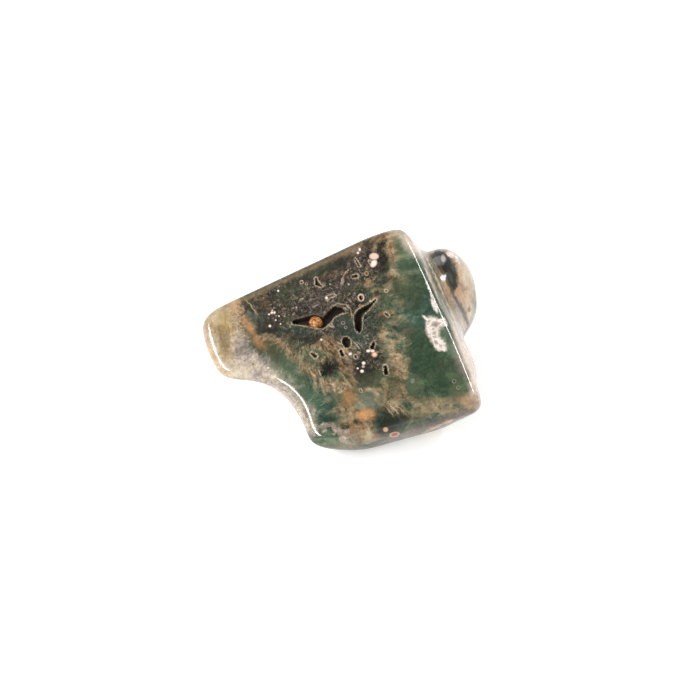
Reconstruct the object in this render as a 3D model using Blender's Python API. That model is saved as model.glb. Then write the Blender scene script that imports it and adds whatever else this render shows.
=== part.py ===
# Ocean jasper: one tumbled, polished stone with a broad cut face, a thumb-like
# left end, a scooped notch, a swelling at the back right and open cavities.
# Sizes in the tables are millimetres from the stone's heart; the mesh is in metres.
import math

import bmesh
import bpy
import numpy as np
from mathutils import Vector

MM = 0.001

# The planes a wheel would grind the stone to: azimuth and elevation of the
# outward normal in degrees (azimuth 0 faces -Y), reach from the heart, how softly
# it runs into its neighbours, and the radius of its doming (0 for flat).
FACETS = {
    "main": (-6.0, 62.0, 7.5, 1.0, 0),
    "top": (-155.4, 11.2, 8.4, 1.8, 0),
    "top right": (114.5, 45.5, 18.1, 2.4, 0),
    "side": (96.6, 35.2, 13.8, 1.5, 0),
    "near": (14.5, -20.4, 15.4, 2.8, 0),
    "low left": (-19.1, -28.2, 16.6, 4.2, 0),
    "left end": (-83.9, -8.7, 19.0, 4.6, 0),
    "left top": (-130.5, 32.7, 17.2, 3.4, 0),
    "back right": (103.0, 6.4, 14.3, 3.5, 0),
    "under left": (-85.3, -64.3, 6.1, 4.0, 0),
    "under right": (77.0, -59.6, 10.0, 4.0, 0),
    "back low": (174.0, -34.0, 11.0, 5.0, 90),
    "back left": (-150.0, -24.0, 11.2, 5.0, 90),
    "back": (176.0, 6.0, 12.2, 4.0, 90),
    "under": (-116.6, -87.7, 5.43, 2.5, 90),
}
REST_LEVEL = -5.25          # the flat spot it rests on, below the heart
WAVE = 0.22                 # gentle unevenness away from the cut face

# The face is laid out as a viewer sees it from 45 degrees up and 379 mm away.
VIEW_ELEVATION = math.radians(45.0)
VIEW_DISTANCE = 379.0
VIEW_SIDE = (0.26, 0.65)    # the heart's place right of and above the view's middle

NOTCH = (-13.4, -11.8)      # right and up as seen, on the main face
NOTCH_RADIUS = 6.7
NOTCH_ROUND = 4.0

SWELLING = (12.5, 6.75, -2.6)        # right, up and toward the viewer
SWELLING_HALF = (3.3, 5.7, 6.2)      # across, standing, front to back
SWELLING_LEAN = math.radians(18.0)
SWELLING_ROUND = 3.2

# Open cavities on the main face. Each is a path of points seen at
# (right, up, half width), and a depth below the face.
HOLLOWS = {
    "long vug": (((-7.7, 2.95, 0.34), (-6.2, 3.2, 0.66), (-4.6, 3.15, 0.92),
                  (-3.5, 3.4, 0.70), (-2.7, 4.25, 0.74), (-1.1, 4.8, 0.72)), 1.35),
    "forked vug": (((3.0, 5.85, 0.22), (1.9, 4.85, 0.46), (0.95, 4.2, 0.62),
                    (0.75, 3.2, 0.60), (0.9, 1.85, 0.54)), 1.25),
    "ringed pit": (((-0.7, 0.75, 0.62), (-0.7, -0.1, 0.62)), 0.9),
    "upright pit": (((2.8, 0.2, 0.27), (2.55, -0.5, 0.27)), 0.7),
    "lower right pit": (((4.3, -2.75, 0.28), (4.45, -3.75, 0.28)), 0.7),
    "middle pit": (((-1.4, -0.7, 0.25), (-1.2, -1.35, 0.25)), 0.55),
    "left pit": (((-5.4, -1.0, 0.26), (-4.5, -1.6, 0.26)), 0.5),
    "upper pit": (((0.0, 8.95, 0.26), (0.8, 8.85, 0.22)), 0.5),
    "slit pit": (((0.5, 11.3, 0.2), (0.95, 10.3, 0.2)), 0.45),
    "hooked pit": (((-4.65, 8.5, 0.22), (-4.45, 7.75, 0.29), (-4.05, 7.1, 0.24)), 0.5),
    "red pit": (((1.15, 6.4, 0.26), (1.2, 6.05, 0.26)), 0.45),
}
NODULE = (-4.75, 3.05)      # crystal ball sitting in the long vug
NODULE_RADIUS = 0.84
NODULE_SINK = 0.72

RAY_SPREAD = (1.3, 1.1, 0.65)        # more points toward the stone's long ends
KEEP_TRIANGLES = 0.30

for leftover in list(bpy.data.objects):
    bpy.data.objects.remove(leftover, do_unlink=True)

viewRight = np.array((1.0, 0.0, 0.0))
viewUp = np.array((0.0, math.sin(VIEW_ELEVATION), math.cos(VIEW_ELEVATION)))
viewBack = np.array((0.0, -math.cos(VIEW_ELEVATION), math.sin(VIEW_ELEVATION)))
viewer = (viewBack * VIEW_DISTANCE - viewRight * VIEW_SIDE[0]
          - viewUp * VIEW_SIDE[1])


def unit(v):
    return v / np.linalg.norm(v)


def facing(azimuth, elevation):
    a, e = math.radians(azimuth), math.radians(elevation)
    return np.array((math.sin(a) * math.cos(e), -math.cos(a) * math.cos(e), math.sin(e)))


mainNormal = facing(*FACETS["main"][:2])
mainReach = FACETS["main"][2]


def seen(right, up, normal=mainNormal, reach=mainReach):
    """The point of a plane that the viewer sees at this place."""
    aim = viewRight * (right + VIEW_SIDE[0]) + viewUp * (up + VIEW_SIDE[1])
    ray = aim - viewBack * VIEW_DISTANCE
    return viewer + ray * (reach - viewer @ normal) / (ray @ normal)


def soft_max(a, b, width):
    near = np.maximum(width - np.abs(a - b), 0.0) / width
    return np.maximum(a, b) + near ** 3 * width / 6.0


def outside(p):
    """Rough distance outside the stone's skin; negative inside."""
    field = None
    for azimuth, elevation, reach, width, dome in FACETS.values():
        normal = facing(azimuth, elevation)
        if dome:
            gap = np.linalg.norm(p - normal * (reach - dome), axis=1) - dome
        else:
            gap = p @ normal - reach
        field = gap if field is None else soft_max(field, gap, width)

    # The notch is a round bar's worth taken out of the lower left edge.
    axis = unit(0.8 * viewBack + 0.3 * mainNormal)
    off = p - seen(*NOTCH)
    off = off - np.outer(off @ axis, axis)
    field = soft_max(field, NOTCH_RADIUS - np.linalg.norm(off, axis=1), NOTCH_ROUND)

    # The swelling is an upright egg run softly into the back right.
    right, up, back = SWELLING
    off = p - seen(right, up, viewBack, back)
    lean = np.array(((math.cos(SWELLING_LEAN), 0.0, math.sin(SWELLING_LEAN)),
                     (-math.sin(SWELLING_LEAN), 0.0, math.cos(SWELLING_LEAN)),
                     (0.0, 1.0, 0.0)))
    half = np.array(SWELLING_HALF)
    local = off @ lean.T
    size = np.linalg.norm(local / half, axis=1)
    slope = np.linalg.norm(local / half ** 2, axis=1)
    egg = size * (size - 1.0) / np.maximum(slope, 1e-6)
    farther = np.clip(-4.0 - p @ viewBack, 0.0, 6.0)
    field = -soft_max(-field, -egg, SWELLING_ROUND + 0.9 * farther)

    # Unevenness fades out toward the cut face.
    hidden = np.clip((mainReach - 1.0 - p @ mainNormal) / 4.0, 0.0, 1.0)
    x, y, z = p.T
    wave = (np.sin(0.43 * x + 1.1) * np.sin(0.51 * y + 0.4)
            + 0.6 * np.sin(0.8 * z + 0.35 * x + 2.0) * np.sin(0.62 * y - 0.3 * x))
    return field + WAVE * hidden * wave


def make_skin():
    """Rays from the heart stop where they meet the stone's skin."""
    bm = bmesh.new()
    bmesh.ops.create_icosphere(bm, subdivisions=6, radius=1.0)
    rays = np.array([v.co for v in bm.verts]) * RAY_SPREAD
    rays = rays / np.linalg.norm(rays, axis=1)[:, None]
    low = np.full(len(rays), 1.0)
    high = np.full(len(rays), 30.0)
    for step in range(34):
        middle = (low + high) / 2
        inside = outside(rays * middle[:, None]) < 0
        low = np.where(inside, middle, low)
        high = np.where(inside, high, middle)
    points = rays * ((low + high) / 2)[:, None]
    for vert, point in zip(bm.verts, points):
        vert.co = Vector(point) * MM

    # Slice the underside flat where the stone rests.
    cut = bmesh.ops.bisect_plane(
        bm, geom=bm.verts[:] + bm.edges[:] + bm.faces[:], dist=0.000001,
        plane_co=(0, 0, REST_LEVEL * MM), plane_no=(0, 0, -1), clear_outer=True)
    rim = [e for e in cut["geom_cut"] if isinstance(e, bmesh.types.BMEdge)]
    bmesh.ops.holes_fill(bm, edges=rim)
    bmesh.ops.triangulate(bm, faces=[f for f in bm.faces if len(f.verts) > 3])
    bmesh.ops.recalc_face_normals(bm, faces=bm.faces)
    return bm


def bend_hollow(bm, path, depth):
    """A sphere stretched along a path on the main face."""
    rings = 9 if len(path) < 3 else 20
    ball = bmesh.ops.create_uvsphere(bm, u_segments=12, v_segments=rings, radius=1.0)
    spots = [seen(right, up) for right, up, half in path]
    first = spots[0] - unit(spots[1] - spots[0]) * path[0][2]
    last = spots[-1] + unit(spots[-1] - spots[-2]) * path[-1][2]
    spots = [first] + spots[1:-1] + [last] if len(path) > 2 else [first, last]
    halves = [half for right, up, half in path]
    for vert in ball["verts"]:
        along = (vert.co.z + 1) / 2 * (len(spots) - 1)
        i = min(int(along), len(spots) - 2)
        part = along - i
        centre = spots[i] * (1 - part) + spots[i + 1] * part
        half = halves[i] * (1 - part) + halves[i + 1] * part
        before = unit(spots[max(i, 1)] - spots[max(i, 1) - 1])
        after = unit(spots[min(i + 2, len(spots) - 1)] - spots[min(i + 1, len(spots) - 2)])
        forward = unit(before * (1 - part) + after * part)
        sideways = np.cross(mainNormal, forward)
        fuller = max(math.hypot(vert.co.x, vert.co.y), 0.01) ** -0.55
        place = (centre + sideways * vert.co.x * fuller * half
                 + mainNormal * vert.co.y * fuller * depth)
        vert.co = Vector(place) * MM


def add_object(name, bm, collection, material=None):
    mesh = bpy.data.meshes.new(name)
    bm.to_mesh(mesh)
    bm.free()
    for face in mesh.polygons:
        face.use_smooth = True
    item = bpy.data.objects.new(name, mesh)
    collection.objects.link(item)
    if material:
        mesh.materials.append(material)
    return item


def add_cutter(name, bm):
    item = add_object(name, bm, cutters)
    item.hide_render = True
    item.display_type = "WIRE"
    return item


whole = bpy.data.collections.new("Ocean jasper")
cutters = bpy.data.collections.new("Cutters")
bpy.context.scene.collection.children.link(whole)
bpy.context.scene.collection.children.link(cutters)

jasper = bpy.data.materials.new("Polished jasper")
jasper.use_nodes = True
shader = jasper.node_tree.nodes["Principled BSDF"]
shader.inputs["Base Color"].default_value = (0.055, 0.085, 0.05, 1.0)
shader.inputs["Roughness"].default_value = 0.18
shader.inputs["Metallic"].default_value = 0.0

skin = make_skin()
across = np.array([v.co for v in skin.verts])
shift = Vector((-(across[:, 0].min() + across[:, 0].max()) / 2,
                -(across[:, 1].min() + across[:, 1].max()) / 2,
                -across[:, 2].min()))
bmesh.ops.translate(skin, verts=skin.verts, vec=shift)
print("shift in mm", tuple(round(s / MM, 3) for s in shift))
stone = add_object("jasper_stone", skin, whole, jasper)

hollowMesh = bmesh.new()
for path, depth in HOLLOWS.values():
    bend_hollow(hollowMesh, path, depth)
bmesh.ops.translate(hollowMesh, verts=hollowMesh.verts, vec=shift)
bmesh.ops.recalc_face_normals(hollowMesh, faces=hollowMesh.faces)
hollows = add_cutter("hollows", hollowMesh)

noduleMesh = bmesh.new()
bmesh.ops.create_icosphere(noduleMesh, subdivisions=3, radius=NODULE_RADIUS * MM)
noduleSpot = Vector(seen(*NODULE) - mainNormal * NODULE_SINK) * MM
bmesh.ops.translate(noduleMesh, verts=noduleMesh.verts, vec=noduleSpot + shift)
nodule = add_cutter("nodule", noduleMesh)

fewer = stone.modifiers.new("fewer", "DECIMATE")
fewer.ratio = KEEP_TRIANGLES
carve = stone.modifiers.new("carve", "BOOLEAN")
carve.operation = "DIFFERENCE"
carve.solver = "EXACT"
carve.object = hollows
grow = stone.modifiers.new("grow", "BOOLEAN")
grow.operation = "UNION"
grow.solver = "EXACT"
grow.object = nodule
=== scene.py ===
import math
import bmesh
import bpy
import numpy as np
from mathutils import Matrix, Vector, noise


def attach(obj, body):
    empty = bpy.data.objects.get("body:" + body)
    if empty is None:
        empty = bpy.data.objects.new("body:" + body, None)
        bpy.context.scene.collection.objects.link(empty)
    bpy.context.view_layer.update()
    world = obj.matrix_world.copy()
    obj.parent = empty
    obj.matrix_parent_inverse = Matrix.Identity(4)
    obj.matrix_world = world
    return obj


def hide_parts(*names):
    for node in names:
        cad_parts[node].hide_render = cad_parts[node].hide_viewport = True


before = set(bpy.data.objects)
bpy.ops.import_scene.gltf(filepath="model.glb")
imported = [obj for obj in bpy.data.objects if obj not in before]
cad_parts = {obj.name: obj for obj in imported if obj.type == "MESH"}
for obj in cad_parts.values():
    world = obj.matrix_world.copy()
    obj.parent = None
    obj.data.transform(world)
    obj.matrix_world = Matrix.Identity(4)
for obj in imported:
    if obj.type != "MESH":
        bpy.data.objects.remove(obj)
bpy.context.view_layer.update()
print("frame loaded")

mm = 0.001
dot = 0.13  # mm on the stone for one dot of the photograph

# how the photograph looks at the stone; side is the heart's place off the picture's middle
look = {"elevation": 45.0, "distance": 379.0, "side": (0.26, 0.65), "lens": 150.0, "sensor": 36.0,
        "heartDot": (352, 345)}
tilt = math.radians(look["elevation"])
viewRight = np.array((1.0, 0.0, 0.0))
viewUp = np.array((0.0, math.sin(tilt), math.cos(tilt)))
viewBack = np.array((0.0, -math.cos(tilt), math.sin(tilt)))
viewer = viewBack * look["distance"] - viewRight * look["side"][0] - viewUp * look["side"][1]

# the stone in mm from its heart; a facet is azimuth, elevation, reach, how softly it meets the others, doming radius
stone = {
    "heart": (1.375, 1.679, 5.25),
    "facets": {
        "main": (-6.0, 62.0, 7.5, 1.0, 0),
        "top": (-155.4, 11.2, 8.4, 1.8, 0),
        "topRight": (114.5, 45.5, 18.1, 2.4, 0),
        "side": (96.6, 35.2, 13.8, 1.5, 0),
        "near": (14.5, -20.4, 15.4, 2.8, 0),
        "lowLeft": (-19.1, -28.2, 16.6, 4.2, 0),
        "leftEnd": (-83.9, -8.7, 19.0, 4.6, 0),
        "leftTop": (-130.5, 32.7, 17.2, 3.4, 0),
        "backRight": (103.0, 6.4, 14.3, 3.5, 0),
        "underLeft": (-85.3, -64.3, 6.1, 4.0, 0),
        "underRight": (77.0, -59.6, 10.0, 4.0, 0),
        "backLow": (174.0, -34.0, 11.0, 5.0, 90),
        "backLeft": (-150.0, -24.0, 11.2, 5.0, 90),
        "back": (176.0, 6.0, 12.2, 4.0, 90),
        "under": (-116.6, -87.7, 5.43, 2.5, 90),
    },
    "restLevel": -5.25,
    "notch": (-13.4, -11.8), "notchRadius": 6.7, "notchRound": 4.0,
    "swelling": (12.5, 6.75, -2.6), "swellingHalf": (3.3, 5.7, 6.2), "swellingLean": 18.0,
    "swellingRound": 3.2, "rounderFrom": -4.0, "rounderOver": 6.0, "rounderBy": 0.9,
    "wave": 0.22, "waveFrom": 1.0, "waveOver": 4.0,
    "raySpread": (1.3, 1.1, 0.65), "fineness": 7,
}

# open cavities: points seen at (x, y, half width) in dots, depth in mm
hollows = {
    "longVug": (((294, 322, 2.6), (300, 321.3, 3.8), (308, 321, 5.5), (315, 321, 7.0), (322, 322.6, 6.0),
                 (327, 319.5, 4.8), (331, 314, 5.0), (336, 310.6, 5.1), (340.5, 310, 3.9), (344.5, 311.5, 1.8)), 1.35),
    "forkedVug": (((375.5, 300, 0.9), (371, 304, 2.0), (366.5, 308, 3.0), (360.5, 312.3, 4.1), (358, 317, 4.2),
                   (358, 323, 4.2), (358.6, 328, 3.6), (359, 331.5, 1.6)), 1.25),
    "ringedPit": (((346, 341, 4.5), (347, 343.5, 4.4)), 0.9),
    "uprightPit": (((373.6, 343.5, 2.0), (372, 347.6, 2.2)), 0.7),
    "lowRightPit": (((385.3, 366.6, 2.1), (386.3, 372.5, 2.4)), 0.7),
    "middlePit": (((341, 351, 1.9), (342.6, 354.8, 2.2)), 0.55),
    "leftPit": (((311.6, 353.4, 1.6), (315.4, 356.2, 2.2)), 0.5),
    "upperPit": (((353, 276.8, 1.5), (356.5, 276, 2.0)), 0.5),
    "slitPit": (((355.6, 259.5, 1.1), (359, 265.5, 1.3)), 0.45),
    "hookedPit": (((316, 278.5, 1.2), (317, 283.6, 2.3), (321, 286, 1.5)), 0.45),
    "redPit": (((360.4, 296.4, 1.6), (361.2, 298.6, 2.0)), 0.45),
    "roundPit": (((301.5, 282, 1.3), (301.7, 282.3, 1.3)), 0.3),
    "brownPit": (((355.4, 356.2, 1.5), (355.8, 357, 1.5)), 0.3),
    "lowPit": (((360.4, 390, 1.0), (360.8, 391, 1.0)), 0.25),
    "fernPit": (((386, 290.6, 1.1), (386.4, 291, 1.1)), 0.25),
    "crustPit": (((385.5, 313.5, 1.2), (388, 315.5, 1.4)), 0.3),
    "earPit": (((369.6, 261, 1.0), (370.4, 262.5, 1.0)), 0.25),
}
# how the cavities are cut, in mm; the bands round their rims get finer and finer faces
cutting = {"wall": 0.2, "wobble": 0.075, "grit": 0.05, "reach": 1.5, "bands": (0.62, 0.4, 0.24), "even": 0.12}
farOff = 9.0


def unit(v):
    return v / np.linalg.norm(v)


def facing(azimuth, elevation):
    a, e = math.radians(azimuth), math.radians(elevation)
    return np.array((math.sin(a) * math.cos(e), -math.cos(a) * math.cos(e), math.sin(e)))


mainNormal = facing(*stone["facets"]["main"][:2])
mainReach = stone["facets"]["main"][2]


def sightLine(right, up):
    # from the camera to a place seen so many mm right and up of the heart
    return viewRight * (right + look["side"][0]) + viewUp * (up + look["side"][1]) - viewBack * look["distance"]


def seenOn(right, up, normal=mainNormal, reach=mainReach):
    # the point of a plane that the camera sees at this place
    ray = sightLine(right, up)
    return viewer + ray * (reach - viewer @ normal) / (ray @ normal)


def seenAt(p):
    # where the camera sees points: mm right and up of the heart
    scale = look["distance"] / (look["distance"] - p @ viewBack)
    a = (p @ viewRight + look["side"][0]) * scale - look["side"][0]
    b = (p @ viewUp + look["side"][1]) * scale - look["side"][1]
    return a, b


def fromDots(x, y):
    return (x - look["heartDot"][0]) * dot, (look["heartDot"][1] - y) * dot


def softMax(a, b, width):
    near = np.maximum(width - np.abs(a - b), 0.0) / width
    return np.maximum(a, b) + near ** 3 * width / 6.0


notchMiddle = seenOn(*stone["notch"])
notchAxis = unit(0.8 * viewBack + 0.3 * mainNormal)
swellingMiddle = seenOn(*stone["swelling"][:2], viewBack, stone["swelling"][2])
lean = math.radians(stone["swellingLean"])
swellingFrame = np.array(((math.cos(lean), 0, math.sin(lean)), (-math.sin(lean), 0, math.cos(lean)), (0, 1, 0)))


def outside(p):
    # rough distance outside the skin, negative inside; millimetres from the heart
    field = None
    for azimuth, elevation, reach, width, dome in stone["facets"].values():
        normal = facing(azimuth, elevation)
        if dome:
            gap = np.linalg.norm(p - normal * (reach - dome), axis=1) - dome
        else:
            gap = p @ normal - reach
        field = gap if field is None else softMax(field, gap, width)

    # the scooped notch is taken away
    off = p - notchMiddle
    off = off - np.outer(off @ notchAxis, notchAxis)
    field = softMax(field, stone["notchRadius"] - np.linalg.norm(off, axis=1), stone["notchRound"])

    # the swelling is added, and its seam is rounder farther back
    half = np.array(stone["swellingHalf"])
    local = (p - swellingMiddle) @ swellingFrame.T
    size = np.linalg.norm(local / half, axis=1)
    slope = np.linalg.norm(local / half ** 2, axis=1)
    egg = size * (size - 1.0) / np.maximum(slope, 1e-6)
    farther = np.clip(stone["rounderFrom"] - p @ viewBack, 0.0, stone["rounderOver"])
    field = -softMax(-field, -egg, stone["swellingRound"] + stone["rounderBy"] * farther)

    # slow waves on the sides below the main face
    hidden = np.clip((mainReach - stone["waveFrom"] - p @ mainNormal) / stone["waveOver"], 0.0, 1.0)
    x, y, z = p.T
    wave = (np.sin(0.43 * x + 1.1) * np.sin(0.51 * y + 0.4)
            + 0.6 * np.sin(0.8 * z + 0.35 * x + 2.0) * np.sin(0.62 * y - 0.3 * x))
    return field + stone["wave"] * hidden * wave


def ontoSkin(points, near=None):
    # moves points along their rays from the heart until they meet the skin
    far = np.linalg.norm(points, axis=1)
    rays = points / far[:, None]
    low = np.full(len(rays), 1.0) if near is None else far - near
    high = np.full(len(rays), 30.0) if near is None else far + near
    for step in range(32 if near is None else 18):
        middle = (low + high) / 2
        inside = outside(rays * middle[:, None]) < 0
        low = np.where(inside, middle, low)
        high = np.where(inside, high, middle)
    return rays * ((low + high) / 2)[:, None]


def rimDistance(p):
    # mm from the nearest cavity's rim in the face, negative inside, with its depth and how pale its lining is; the long
    # vug's lining is paler on its lower side as painted light
    a, b = seenAt(p)
    best = np.full(len(p), farOff)
    depth = np.zeros(len(p))
    liningAndLitSide = np.zeros(len(p))
    wobble = (np.sin(9.1 * a + 3 * np.sin(5.3 * b)) * np.sin(8.3 * b + 2 * np.sin(6.1 * a + 1))
              + 0.6 * np.sin(21 * a + 4 * np.sin(13 * b)) * np.sin(19 * b + 2)) * cutting["wobble"]
    onFace = mainReach - p @ mainNormal < cutting["reach"]
    for name, (path, deep) in hollows.items():
        nearest = np.full(len(p), farOff)
        lower = np.zeros(len(p))
        for (x0, y0, r0), (x1, y1, r1) in zip(path[:-1], path[1:]):
            a0, b0 = fromDots(x0, y0)
            a1, b1 = fromDots(x1, y1)
            long2 = (a1 - a0) ** 2 + (b1 - b0) ** 2
            t = np.clip(((a - a0) * (a1 - a0) + (b - b0) * (b1 - b0)) / long2, 0, 1)
            gap = np.hypot(a - a0 - t * (a1 - a0), b - b0 - t * (b1 - b0)) - (r0 + t * (r1 - r0)) * dot
            below = ((a - a0) * (b1 - b0) - (b - b0) * (a1 - a0)) / math.sqrt(long2)
            lower = np.where(gap < nearest, below, lower)
            nearest = np.minimum(nearest, gap)
        nearest = nearest + wobble * min(1.0, deep * 1.5)
        closer = (nearest < best) & onFace
        best = np.where(closer, nearest, best)
        depth = np.where(closer, deep, depth)
        # the long vug's lining is paler on its lower side, where light falls, and dimmer on its upper side: painted
        # light and shade
        pale = np.clip(0.5 + lower * 2.5, 0.12, 1) if name == "longVug" else 0.85
        liningAndLitSide = np.where(closer, pale, liningAndLitSide)
    return best, depth, liningAndLitSide


def evenNormals(mesh, points, gap):
    # the slope of the form itself away from the cavities, so that highlights run evenly
    averaged = np.array([v.normal for v in mesh.vertices])
    step = 0.02
    slope = np.stack([outside(points + step * axis) - outside(points - step * axis) for axis in np.eye(3)], axis=1)
    slope /= np.maximum(np.linalg.norm(slope, axis=1, keepdims=True), 1e-9)
    aboveRest = points[:, 2] > stone["restLevel"] + 0.05
    even = (gap > cutting["even"]) & aboveRest & ((slope * averaged).sum(axis=1) > 0.8)
    return np.where(even[:, None], slope, averaged)


def placesOf(bm):
    return np.array([v.co for v in bm.verts])


def moveTo(bm, points):
    for vert, point in zip(bm.verts, points):
        vert.co = point


def trianglesOnly(bm):
    bmesh.ops.triangulate(bm, faces=[f for f in bm.faces if len(f.verts) > 3])


def meshFrom(bm, name):
    mesh = bpy.data.meshes.new(name)
    bm.to_mesh(mesh)
    bm.free()
    return mesh


def stoneMesh(bm, name, middle):
    # from mm round a middle to metres in the shared frame
    bmesh.ops.translate(bm, verts=bm.verts, vec=middle)
    bmesh.ops.scale(bm, verts=bm.verts, vec=(mm, mm, mm))
    mesh = meshFrom(bm, name)
    mesh.shade_smooth()
    return mesh


def linked(name, data):
    item = bpy.data.objects.new(name, data)
    bpy.context.scene.collection.objects.link(item)
    return item


def mark(mesh, name, values):
    # one number for each point, for the material
    mesh.attributes.new(name, "FLOAT", "POINT").data.foreach_set("value", values.astype(np.float32))


def makeSkin():
    bm = bmesh.new()
    bmesh.ops.create_icosphere(bm, subdivisions=stone["fineness"], radius=1.0)
    moveTo(bm, ontoSkin(placesOf(bm) * stone["raySpread"]))
    for band in cutting["bands"]:
        close = rimDistance(placesOf(bm))[0] < band
        edges = [e for e in bm.edges if close[e.verts[0].index] or close[e.verts[1].index]]
        bmesh.ops.subdivide_edges(bm, edges=edges, cuts=1, use_grid_fill=True)
        trianglesOnly(bm)
        bm.verts.index_update()

    # the cavities go straight down from the main face
    points = ontoSkin(placesOf(bm), near=0.6)
    gap, deep, pale = rimDistance(points)
    inward = np.clip(-gap / cutting["wall"], 0, 1)
    inward = inward * inward * (3 - 2 * inward)
    x, y, z = points.T
    grit = cutting["grit"] * np.sin(17 * x + 3 * np.sin(11 * y)) * np.sin(15 * z + 5 * x)
    moveTo(bm, points - mainNormal * (inward * (deep + grit * deep))[:, None])

    # the flat spot it rests on
    cut = bmesh.ops.bisect_plane(bm, geom=bm.verts[:] + bm.edges[:] + bm.faces[:], dist=0.001,
                                 plane_co=(0, 0, stone["restLevel"]), plane_no=(0, 0, -1), clear_outer=True)
    rim = [e for e in cut["geom_cut"] if isinstance(e, bmesh.types.BMEdge)]
    bmesh.ops.holes_fill(bm, edges=rim)
    trianglesOnly(bm)
    bmesh.ops.recalc_face_normals(bm, faces=bm.faces)

    points = placesOf(bm)
    gap, deep, pale = rimDistance(points)
    mesh = stoneMesh(bm, "jasper_skin", Vector(stone["heart"]))
    mesh.normals_split_custom_set_from_vertices(evenNormals(mesh, points, gap))
    mark(mesh, "rim", np.clip(gap, -1, 1))
    mark(mesh, "liningAndLitSide", pale)
    print("skin:", len(mesh.vertices), "points,", len(mesh.polygons), "faces")
    return linked("jasper_skin", mesh)


ball = {"at": (315.3, 321.3), "radius": 0.86, "sink": 0.62, "fineness": 6, "facetScale": 3.4, "facetDepth": 0.09}


def makeBall():
    # a ball of crystal facets that sits in the long vug
    bm = bmesh.new()
    bmesh.ops.create_icosphere(bm, subdivisions=ball["fineness"], radius=1.0)
    for vert in bm.verts:
        cells = noise.voronoi(vert.co * ball["facetScale"])[0]
        bump = (cells[1] - cells[0]) - 0.35 + 0.35 * noise.noise(vert.co * 2.1)
        vert.co *= ball["radius"] + ball["facetDepth"] * bump
    middle = Vector(seenOn(*fromDots(*ball["at"])) - mainNormal * ball["sink"]) + Vector(stone["heart"])
    return linked("crystal_ball", stoneMesh(bm, "crystal_ball", middle))


skin = makeSkin()
crystalBall = makeBall()
print("crystal ball made")


# shader helpers
def ink(red, green, blue):
    def straight(v):
        v = v / 255
        return v / 12.92 if v <= 0.04045 else ((v + 0.055) / 1.055) ** 2.4
    return (straight(red), straight(green), straight(blue), 1.0)


def put(tree, kind, wires=None, **settings):
    node = tree.nodes.new("ShaderNode" + kind)
    for name, value in settings.items():
        setattr(node, name, value)
    plug(tree, node, wires or {})
    return node


def plug(tree, node, wires):
    # a wire for each socket that comes from a node, a plain value for the others
    for name, value in wires.items():
        if isinstance(value, bpy.types.NodeSocket):
            tree.links.new(value, node.inputs[name])
        else:
            node.inputs[name].default_value = value


def number(tree, operation, a, b=0.0):
    return put(tree, "Math", {0: a, 1: b}, operation=operation).outputs[0]


def plus(tree, a, b):
    return number(tree, "ADD", a, b)


def minus(tree, a, b):
    return number(tree, "SUBTRACT", a, b)


def times(tree, a, b):
    return number(tree, "MULTIPLY", a, b)


def timesPlus(tree, a, b, c):
    return put(tree, "Math", {0: a, 1: b, 2: c}, operation="MULTIPLY_ADD").outputs[0]


def awayFrom(tree, value, middle):
    return number(tree, "ABSOLUTE", minus(tree, value, middle))


def weighed(tree, first, *others):
    # the sum of values, each given with its weight
    share = times(tree, *first)
    return plus(tree, share, weighed(tree, *others)) if others else share


def vector(tree, operation, a, b=(0, 0, 0)):
    node = put(tree, "VectorMath", {0: a}, operation=operation)
    plug(tree, node, {"Scale" if operation == "SCALE" else 1: b})
    return node.outputs["Value" if operation == "DOT_PRODUCT" else "Vector"]


def shifted(tree, place, way, amount):
    return vector(tree, "ADD", place, vector(tree, "SCALE", way, amount))


def blendColour(tree, amount, below, above, how="MIX"):
    return put(tree, "Mix", {0: amount, 6: below, 7: above}, data_type="RGBA", blend_type=how).outputs[2]


def overlaid(tree, below, mask, share, above):
    return blendColour(tree, times(tree, mask, share), below, above)


def ramp(tree, value, *stops):
    node = put(tree, "ValToRGB", {0: value})
    points = node.color_ramp.elements
    while len(points) > 1:
        points.remove(points[-1])
    points[0].position, points[0].color = stops[0]
    for place, colour in stops[1:]:
        points.new(place).color = colour
    return node.outputs["Color"]


def inkRamp(tree, value, *stops):
    return ramp(tree, value, *[(place, inks[name]) for place, name in stops])


def eased(tree, slide):
    # clamped nodes would use up Cycles' room for values, so the ends are cut by plain minimum and maximum
    slide = number(tree, "MAXIMUM", number(tree, "MINIMUM", slide, 1.0), 0.0)
    ease = timesPlus(tree, slide, -2.0, 3.0)
    return times(tree, times(tree, slide, slide), ease)


def between(tree, value, low, high, top=1.0):
    # 0 to top as the value goes from low to high
    slope = 1.0 / (high - low)
    mask = eased(tree, timesPlus(tree, value, slope, -low * slope))
    return mask if top == 1.0 else times(tree, mask, top)


def noiseOf(tree, place, scale, detail=4.0, rough=0.55, twist=0.0, output="Fac"):
    return put(tree, "TexNoise", {"Vector": place, "Scale": scale, "Detail": detail, "Roughness": rough,
                                  "Distortion": twist}).outputs[output]


def cellsOf(tree, place, scale, randomness=1.0):
    # cells with the distance from their middles, and three numbers that differ from cell to cell
    cells = put(tree, "TexVoronoi", {"Vector": place, "Scale": scale, "Randomness": randomness}, feature="F1")
    return cells.outputs["Distance"], put(tree, "SeparateColor", {0: cells.outputs["Color"]}).outputs


def newMaterial(name):
    material = bpy.data.materials.new(name)
    material.use_nodes = True
    return material, material.node_tree, material.node_tree.nodes["Principled BSDF"]


def newGroup(name, inputs, outputs):
    tree = bpy.data.node_groups.new(name, "ShaderNodeTree")
    for label, kind in inputs:
        tree.interface.new_socket(label, in_out="INPUT", socket_type="NodeSocket" + kind)
    for label, kind in outputs:
        tree.interface.new_socket(label, in_out="OUTPUT", socket_type="NodeSocket" + kind)
    return tree, tree.nodes.new("NodeGroupInput"), tree.nodes.new("NodeGroupOutput")


def useGroup(tree, group, wires):
    node = tree.nodes.new("ShaderNodeGroup")
    node.node_tree = group
    plug(tree, node, wires)
    return node


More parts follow.
